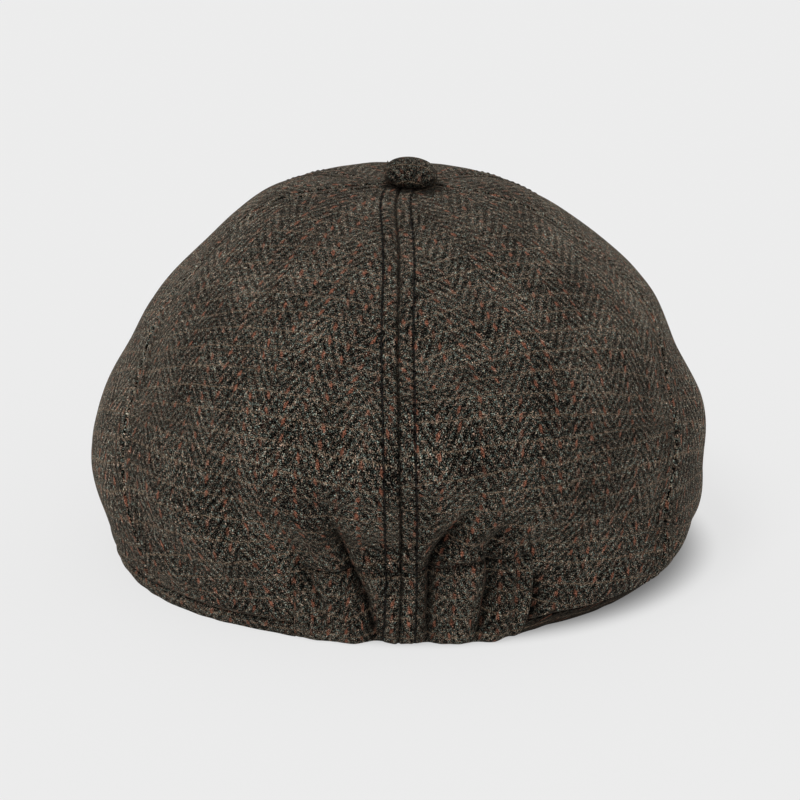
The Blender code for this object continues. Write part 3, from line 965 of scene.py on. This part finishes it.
def panel_rises(turn, rows_beside, rows_over):
    """The rises of a panel's rows at a turn, from the hem strip up to the hole under the button."""
    start = np.broadcast_to(rise_at_height(hem_height), np.shape(turn))
    casing = rise_at_height(casing_top(turn))
    beside = even(rows_beside + 1)[:-1, None] ** 1.35
    over = even(rows_over + 1)[:, None] ** 1.25
    return np.concatenate([start + (casing - start) * beside, casing + (button_hole_rise - casing) * over])


def back_panel(side, material):
    """A back panel, cut away where the casing sits. side is 1 for the left, -1 for the right."""
    end = left_end if side > 0 else -right_end
    inner_cells, outer_cells, rows_beside, rows_over = 84, 104, 24, 172
    inner = even(inner_cells + 1)
    inner = inner - 0.55 * np.sin(math.pi * inner) / math.pi * (1.0 - inner)
    outer = 1.0 + even(outer_cells + 1)[1:]
    outer = outer + 0.6 * np.sin(math.pi * (outer - 1.0)) / math.pi * (outer - 1.0)
    shares = np.concatenate([inner, outer])[::side]

    def turn_at(share, rise):
        start = side * seam_turn("back", rise)
        near = start + np.minimum(share, 1.0) * (end - start)
        return side * (near + np.maximum(share - 1.0, 0.0) * (seam_turn("side", rise) - end))

    rises = panel_rises(turn_at(shares, 0.1), rows_beside, rows_over)
    turns = turn_at(shares, rises)
    middle_rise = even(500)
    lean = smooth(middle_rise / grain_lean_rise)
    middle_turns = side * (grain_turn_low + (grain_turn_high - grain_turn_low) * lean)
    row, column = np.meshgrid(np.arange(len(rises) - 1), np.arange(len(shares) - 1), indexing="ij")
    over_casing = column < inner_cells if side > 0 else column >= outer_cells
    keep = (row >= rows_beside) | ~over_casing
    edge_row = np.where(side * turns < end - (casing_left_fade if side > 0 else 0.0), rows_beside, 0)
    word = "left" if side > 0 else "right"
    name = f"back_panel_{word}_cloth"
    return sewn_panel(name, turns, rises, (middle_turns, middle_rise), edge_row, side, material, keep)


def plain_panel(name, side, from_seam, to_seam, cells, rows, material):
    """A side or front panel between two seams."""
    shares = crowded(cells, 0.72)[::side]

    def turn_at(share, rise):
        start = seam_turn(from_seam, rise)
        stop = seam_turn(to_seam, rise) if to_seam else 180.0
        return side * (start + share * (stop - start))

    rises = panel_rises(turn_at(shares, 0.1), *rows)
    turns = turn_at(shares, rises)
    middle_rise = even(500)
    middle = (turn_at(0.5, middle_rise), middle_rise)
    return sewn_panel(name, turns, rises, middle, np.zeros(turns.shape, int), side, material)


def sewn_panel(name, turns, rises, middle, edge_row, side, material, keep=None):
    """A panel's cloth with its seams, topstitching and turned edge.

    middle is the panel's middle line as turns and rises. edge_row is the row of the lower edge.
    """
    base = crown_base(turns, rises)
    grain = panel_grain(base, crown_base(*middle))
    middle_here = np.interp(rises, middle[1], middle[0])
    grain[..., 0] *= np.where(turns > middle_here, 1.0, -1.0)
    grain += np.array(CLOTH_SHIFT[name])
    first, last = seam_distance(base)
    up = lengths_along(base, 0)
    if "back" in name:
        folded = crown_point(turns, rises)
        wider = lengths_along(folded, 1) - lengths_along(base, 1)
        taller = lengths_along(folded, 0) - up
        grain[..., 0] += wider if side > 0 else wider - wider[:, -1:]
        grain[..., 1] += taller - taller[-1:]
    # The distance from the lower edge, along which the cloth gets the painted shade of a turned edge and
    # its dark stitches
    from_edge = np.abs(up - np.take_along_axis(up, edge_row, axis=0))
    from_seam = np.minimum(first, last)
    calm = smooth(from_seam / 0.012)
    relief = seam_relief(first, up) + seam_relief(last, up) + cloth_unevenness(grain) * calm
    relief += edge_roll(from_edge) + stitch_row(from_edge, lengths_along(base, 1))
    relief += crease_relief(turns, rises)
    # Painted shade down in the gathers
    painted_shade = painted_crease_shade(turns, rises)
    if "back" in name:
        from_casing = beside_casing(turns, rises)
        depth = groove_depth_left if side > 0 else groove_depth_right
        relief -= depth * hill(from_casing / groove_width)
        # Painted shadow on the right panel just beside the casing's right end
        if side < 0:
            past_groove = np.maximum(from_casing - groove_shade_start, 0.0)
            painted_shade = np.maximum(painted_shade, hill(past_groove / groove_shade_width))
        dark = smooth((rises - dark_seam_rise) / dark_seam_blend)
        from_side_seam = last if side > 0 else first
        from_edge = np.minimum(from_edge, from_side_seam + 0.03 * (1.0 - dark))
    outer = crown_point(turns, rises, relief)
    # Painted shadow on the crown round the button
    painted_shade = np.maximum(painted_shade, painted_button_shadow(outer))
    inner = crown_point(turns, rises, np.minimum(relief, 0.0) - cloth_thickness)
    shown = far_away
    if "back" in name:
        shown = first if side > 0 else last
    # A painted sheen: the cloth at the sides is painted lighter, easing in and out across the turns and
    # below the top
    away = np.abs(turns)
    painted_sheen_and_edge_fade = smooth((away - painted_sheen_start) / (painted_sheen_full - painted_sheen_start))
    painted_sheen_and_edge_fade = painted_sheen_and_edge_fade * smooth((painted_sheen_end - away) / (painted_sheen_end - painted_sheen_ebb))
    painted_sheen_and_edge_fade = painted_sheen_and_edge_fade * smooth((1.0 - rises) / painted_sheen_below_top)
    maps = cloth_maps(grain, shown, from_edge, painted_shade, painted_sheen_and_edge_fade)
    return cloth_wall(name, outer, inner, maps, material, keep)


def painted_button_shadow(points):
    """A painted shadow on the crown round the button's rim: how close places lie to it, from 0 to 1."""
    low, high = [np.array(corner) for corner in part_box("top_button")]
    middle = (low + high) / 2.0 + np.array([-0.0012, 0.0010, 0.0])
    past_rim = length((points - middle)[..., :2]) - button_diameter / 2.0
    return hill(np.maximum(past_rim, 0.0) / button_shade_width)


def edge_roll(distance):
    """How a turned edge swells and then tucks under."""
    swell = edge_swell_height * hill((distance - edge_swell_distance) / edge_swell_width)
    return swell - edge_tuck_depth * hill(distance / edge_tuck_width)


def stitch_row(distance, along):
    """The shallow dents of the stitches that hold the turned edge."""
    past = (distance - edge_stitch_distance) / edge_stitch_distance
    return -edge_stitch_depth * beat(along, 0.4) * hill(past)


def back_casing(material):
    """The gathered elastic casing under the back panels."""
    turns = np.linspace(right_end, left_end, 341)
    tops = rise_at_height(casing_top(turns))
    rises = even(61)[:, None] * tops
    turns = np.broadcast_to(turns, rises.shape)
    base = crown_base(turns, rises)
    around, up = lengths_along(base, 1), lengths_along(base, 0)
    height = up[-1:]
    middle = np.abs(turns[0] - seam_turn("back", 0.0)).argmin()
    from_seam = np.abs(around - around[:, middle : middle + 1])
    pucker = 0.00028 * np.sin(around * 1900.0 + 2.0 * np.sin(around * 400.0))
    pucker += 0.00035 * np.sin(around * 830.0 + 1.0)
    pucker *= np.exp(-(((up - 0.5 * height) / (0.42 * height)) ** 4)) * smooth(from_seam / 0.008)
    relief = seam_relief(from_seam, up) + pucker + crease_relief(turns, rises)
    relief -= casing_tuck_depth * (hill((height - up) / 0.0009) + hill(up / 0.0007))
    from_left = around[:, -1:] - around
    for from_end, ridge in ((around, casing_ridge_right), (from_left, casing_ridge_left)):
        relief += ridge * hill((from_end - casing_ridge_distance) / casing_ridge_width)
    outer = crown_point(turns, rises, relief)
    inner = crown_point(turns, rises, -casing_thickness)
    full_width = lengths_along(outer[20:50:10], 1).mean(axis=0)
    grain = np.stack([np.broadcast_to(full_width - full_width[middle], up.shape), up], axis=-1)
    # Painted shade along the casing's top edge, fading out near its left end, and down its left end, as
    # along a turned edge; painted shade in its gathers
    painted_sheen_and_edge_fade = 0.002 * smooth((turns - left_end + casing_left_fade) / 1.5)
    from_edge = np.minimum(height - up + painted_sheen_and_edge_fade, from_left + 0.0004)
    maps = cloth_maps(grain, from_seam, from_edge, painted_crease_shade(turns, rises))
    return cloth_wall("back_casing_cloth", outer, inner, maps, material)


def hem_strip(material):
    """The turned hem from one end of the casing round the front to the other."""
    turns = np.linspace(left_end, 360.0 + right_end, 901)
    rises = even(11)[:, None] * np.full(turns.shape, rise_at_height(hem_height))
    turns = np.broadcast_to(turns, rises.shape)
    base = crown_base(turns, rises)
    around, up = lengths_along(base, 1), lengths_along(base, 0)
    part = up / up[-1:]
    relief = hem_roundness * (1.0 - (2.0 * part - 1.0) ** 2)
    relief += hem_ripple * np.sin(around * 526.0 + np.sin(around * 200.0))
    outer = crown_point(turns, rises, relief)
    inner = crown_point(turns, rises, -hem_thickness)
    # Painted shade on the hem along the right side
    painted_shade_on_right = smooth((turns - hem_shade_start) / (hem_shade_full - hem_shade_start)) * 0.95
    maps = cloth_maps(np.stack([around, up], axis=-1), painted_shade=painted_shade_on_right)
    return cloth_wall("hem_strip_cloth", outer, inner, maps, material)


def peak(material):
    """The cloth covered peak, with a rounded edge and two rows of topstitching."""
    across = np.linspace(-1.0, 1.0, 181)
    turns = 180.0 + across * peak_half_spread
    low, high = [rise_at_height(peak_drop_at_root + thickness) for thickness in (0.0, peak_thickness)]
    root_under = crown_point(turns, low, peak_root_gap)
    root_over = crown_point(turns, high, peak_root_gap)
    half_width = abs(root_over[0] - root_over[-1])[0] / 2.0 + peak_corner_length
    middle = (root_over[0] + root_over[-1]) / 2.0
    tip = root_over[90][1] - peak_length
    swing = np.radians(90.0 * across)
    edge_x = middle[0] - half_width * np.sin(swing)
    edge_y = middle[1] + (tip - middle[1]) * np.cos(swing) ** peak_edge_bluntness
    edge_z = peak_edge_lift * (1.0 - across**2) + peak_floor_gap
    edge_under = np.stack([edge_x, edge_y, edge_z], axis=-1)
    edge_over = edge_under + np.array([0.0, 0.0, peak_thickness])
    parts = np.append(np.linspace(0.0, 0.93, 44), np.linspace(0.94, 1.0, 9))[:, None, None]
    under = root_under + parts * (edge_under - root_under)
    over = root_over + parts * (edge_over - root_over)
    out = lengths_along(over, 0)
    from_edge = out[-1:] - out
    round_over = np.sqrt(1.0 - (1.0 - np.minimum(from_edge / peak_edge_round, 1.0)) ** 2)
    thinner = peak_thickness / 2.0 * (1.0 - 0.96 * round_over)
    arch = peak_camber * (4.0 * parts * (1.0 - parts))[..., 0] * (1.0 - across**2)
    sewn = sum(hill((from_edge - row) / topstitch_width) for row in PEAK_ROWS_FROM_EDGE)
    dent = peak_stitch_depth * sewn * beat(lengths_along(over, 1), 0.3)
    under[..., 2] += arch + thinner + dent
    over[..., 2] += arch - thinner - dent
    outwards = unit((over[-1] - over[0])[:, :2])
    grain = over[..., :2] + (lengths_along(over, 0) - out)[..., None] * outwards
    grain = grain * np.array([1.0, -1.0])
    nearest_row = np.min([np.abs(from_edge - row) for row in PEAK_ROWS_FROM_EDGE], axis=0)
    maps = cloth_maps(grain, topstitch_distance + nearest_row)
    return cloth_wall("peak_cloth", under, over, maps, material)


def top_button(material):
    """The covered button, with the cloth gathered under its rim."""
    radius = button_diameter / 2.0
    sides, rings = 96, 46
    angles = np.linspace(0.0, 2.0 * math.pi, sides + 1)[:-1]
    profile = through_rows(with_end_rows(BUTTON_PROFILE), even(rings))
    out = np.maximum(profile[:, 0], 0.0)[:, None] * radius
    up = profile[:, 1][:, None] * button_height + np.zeros(sides)
    low_down = button_pleat_depth * smooth((0.55 - profile[:, 1]) / 0.5)[:, None]
    pleated = out * (1.0 - low_down * (0.5 + 0.5 * np.cos(button_pleats * angles)))
    points = np.stack([pleated * np.cos(angles), pleated * np.sin(angles), up], axis=-1)
    reach = lengths_along(np.stack([out + np.zeros(sides), np.zeros(up.shape), up], axis=-1), 0)
    grain = np.stack([reach * np.cos(angles), reach * np.sin(angles)], axis=-1)
    lean = Euler((math.radians(-button_tilt_back), math.radians(-button_tilt_side), 0.0))
    lean = np.array(lean.to_matrix())
    low, high = [np.array(corner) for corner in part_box("top_button")]
    place = (low + high) / 2.0
    place[2] = high[2] - button_height
    place[:2] -= lean[:2, 2] * 0.33 * button_height
    points = points @ lean.T + place
    row, side = np.meshgrid(np.arange(rings - 1), np.arange(sides), indexing="ij")
    here, after = row * sides + side, row * sides + (side + 1) % sides
    faces = np.stack([here, here + sides, after + sides, after], axis=-1).reshape(-1, 4)
    # Painted shade on the button's lower rim, darker towards one side
    painted_shade_low_on_rim = smooth((0.60 - profile[:, 1]) / 0.55)[:, None] * (0.75 + 0.25 * np.cos(angles - 2.4))
    maps = {key: values.reshape(-1, 2) for key, values in cloth_maps(grain, painted_shade=painted_shade_low_on_rim).items()}
    return cloth_mesh("button_cloth", points.reshape(-1, 3), faces, maps, material)


def stitches(name, paths, material):
    """Short stitches of thread along paths. A path is points on the cloth and their outward directions."""
    angles = np.linspace(0.0, 2.0 * math.pi, 7)[:-1]
    rings = np.array([(-0.5, 0.35), (-0.32, 0.9), (0.0, 1.0), (0.32, 0.9), (0.5, 0.35)])
    ring, side = np.meshgrid(np.arange(4) * 6, np.arange(6), indexing="ij")
    after = (side + 1) % 6
    corners = [ring + side, ring + after, ring + 6 + after, ring + 6 + side]
    tube = np.stack(corners, axis=-1).reshape(-1, 4)
    points, faces = [], []
    for line, outward in paths:
        lengths = lengths_along(line[:, None], 0)[:, 0]
        for centre in np.arange(stitch_pitch / 2.0, lengths[-1], stitch_pitch):
            here, ahead = [
                np.array([np.interp(place, lengths, line[:, axis]) for axis in range(3)])
                for place in (centre, centre + 0.001)
            ]
            out = np.array([np.interp(centre, lengths, outward[:, axis]) for axis in range(3)])
            forward = unit(ahead - here)
            sideways = unit(np.cross(forward, out))
            out = np.cross(sideways, forward)
            faces.append(tube + len(points) * 30)
            rows = []
            for place, size in rings:
                arch = thread_radius * (1.2 - 4.0 * place**2)
                spine = here + forward * place * stitch_length + out * arch
                spread = np.cos(angles)[:, None] * sideways + np.sin(angles)[:, None] * out
                rows.append(spine + spread * thread_radius * size)
            points.append(np.concatenate(rows))
    points = np.concatenate(points)
    maps = {"grain": np.zeros((len(points), 2))}
    return cloth_mesh(name, points, np.concatenate(faces), maps, material)


def seam_path(which, side, offset):
    """A line on the crown beside a seam, at a distance across it, with the outward direction."""
    rise = np.linspace(float(rise_at_height(hem_height + 0.001)), seam_rows_end_rise, 260)
    turn = np.full(rise.shape, 180.0)
    if which == "back":
        rise = np.linspace(0.004, seam_rows_end_rise, 260)
        turn = seam_turn("back", rise)
    elif which != "middle front":
        turn = side * seam_turn(which, rise)
    line = crown_base(turn, rise)
    across = crown_base(turn + 0.5, rise) - line
    up = np.gradient(line, axis=0)
    slant = length(np.cross(up, across)) / length(up)
    swing = offset * 0.5 / slant
    keep = np.abs(swing) < 40.0
    turn, rise = (turn + swing)[keep], rise[keep]
    outward = allowance_height - topstitch_depth * 0.55
    return crown_point(turn, rise, outward), crown_outward(turn, rise)


def turned_path(turn, height):
    """The row of stitches along a panel's turned edge, which lies at a height."""
    turn, rise = matched(turn, rise_at_height(height + turned_row_distance))
    return crown_point(turn, rise, -turned_row_depth), crown_outward(turn, rise)


def dress_the_cap():
    """Every piece of the cap, in place of its plain one."""
    crown = herringbone("crown herringbone")
    # The casing's cloth is painted a little lighter than the crown's, a painted light against the shade in
    # its gathers
    gathered = herringbone("casing herringbone", 1.06)
    edge = herringbone("hem herringbone", 0.92)
    brim = herringbone("peak herringbone")
    round_top = herringbone("button herringbone", 0.78, 0.35)
    pieces = []
    for side, word in ((1, "left"), (-1, "right")):
        flank = plain_panel(f"side_panel_{word}_cloth", side, "side", "front", 96, (16, 140), crown)
        front = plain_panel(f"front_panel_{word}_cloth", side, "front", None, 90, (16, 120), crown)
        pieces += [
            (back_panel(side, crown), f"panel_back_{word}", "crown_cloth"),
            (flank, f"panel_side_{word}", "crown_cloth"),
            (front, f"panel_front_{word}", "crown_cloth"),
        ]
    pieces.append((back_casing(gathered), "back_casing", "casing_cloth"))
    pieces.append((hem_strip(edge), "rim_band", "hem_cloth"))
    pieces.append((peak(brim), "peak", "peak_cloth"))
    pieces.append((top_button(round_top), "top_button", "button_cloth"))
    for piece, node, slot in pieces:
        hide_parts(node)
        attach(piece, "root")
    beside = (-topstitch_distance, topstitch_distance)
    turns = np.linspace(right_end, left_end - casing_left_fade, 200)
    over_casing = turned_path(turns, casing_top(turns))
    over_hem = turned_path(np.linspace(left_end + 0.5, 359.5 + right_end, 700), hem_height)
    dark_rows = [seam_path("back", 1, offset) for offset in beside] + [over_casing]
    brown_rows = [seam_path("middle front", 1, offset) for offset in beside] + [over_hem]
    for side in (1, -1):
        brown_rows += [seam_path(which, side, offset) for which in ("side", "front") for offset in beside]
    black = sewing_thread("black thread", THREAD_BLACK, THREAD_GREY)
    brown = sewing_thread("brown thread", THREAD_BROWN, THREAD_TAUPE)
    at_back = stitches("back_topstitching", dark_rows, black)
    at_sides = stitches("side_topstitching", brown_rows, brown)
    for sewing in (at_back, at_sides):
        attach(sewing, "root")


def pale_floor():
    """A wide matt floor that glows like a light table, with a painted shadow where it glows less under the
    cap and just beside it.
    """
    mesh = bpy.data.meshes.new("floor")
    corners = [(x * FLOOR_REACH, y * FLOOR_REACH, 0.0) for x, y in ((-1, -1), (1, -1), (1, 1), (-1, 1))]
    mesh.from_pydata(corners, [], [(0, 1, 2, 3)])
    shop = Shop("pale floor")
    place = shop.add("ShaderNodeSeparateXYZ", None, shop.add("ShaderNodeTexCoord", None, output=3))
    across = (place - opening_shift - MIDDLE[0] + SHADE_SHIFT) / (opening_half_width + 0.0035)
    along = (Value(shop, place.socket.node.outputs[1]) - MIDDLE[1]) / (opening_half_length + 0.0045)
    away = (across * across + along * along) ** 0.5
    # Painted shadow: the floor glows less under the cap and just beside it
    glow_with_painted_shadow = away.between(0.85, 1.05) * (FLOOR_GLOW - FLOOR_GLOW_IN_PAINTED_SHADOW) + FLOOR_GLOW_IN_PAINTED_SHADOW
    surface = {"Base Color": (FLOOR_SHADE, FLOOR_SHADE, FLOOR_SHADE, 1.0), "Roughness": 1.0}
    light = {"Emission Color": shop.spot(glow_with_painted_shadow, glow_with_painted_shadow, glow_with_painted_shadow), "Emission Strength": 1.0}
    shop.fill(shop.shader, surface | light | {"Specular IOR Level": 0.0})
    mesh.materials.append(shop.material)
    floor = in_scene("floor", mesh)


def studio_light():
    """A soft key light from the upper left behind the camera, and an even white room."""
    world = bpy.data.worlds.new("studio")
    world.use_nodes = True
    background = world.node_tree.nodes["Background"]
    background.inputs["Color"].default_value = (1.0, 1.0, 1.0, 1.0)
    background.inputs["Strength"].default_value = ROOM_LIGHT
    bpy.context.scene.world = world
    lamp = bpy.data.lights.new("key", "SUN")
    lamp.energy = KEY_STRENGTH
    lamp.angle = math.radians(KEY_SOFTNESS)
    key = in_scene("key", lamp)
    key.rotation_euler = (-Vector(KEY_FROM)).to_track_quat("-Z", "Y").to_euler()
    bpy.context.scene.view_settings.view_transform = "Standard"


def camera():
    """A long lens behind the cap and a little above it."""
    data = bpy.data.cameras.new("camera")
    data.lens = CAMERA_LENS
    data.sensor_width = 36.0
    item = in_scene("camera", data)
    elevation = math.radians(CAMERA_ELEVATION)
    item.location = Vector(CAMERA_PLACE) + Vector(MIDDLE)
    look = Vector((0.0, -math.cos(elevation), -math.sin(elevation)))
    item.rotation_euler = look.to_track_quat("-Z", "Y").to_euler()
    bpy.context.scene.camera = item


dress_the_cap()
pale_floor()
studio_light()
camera()
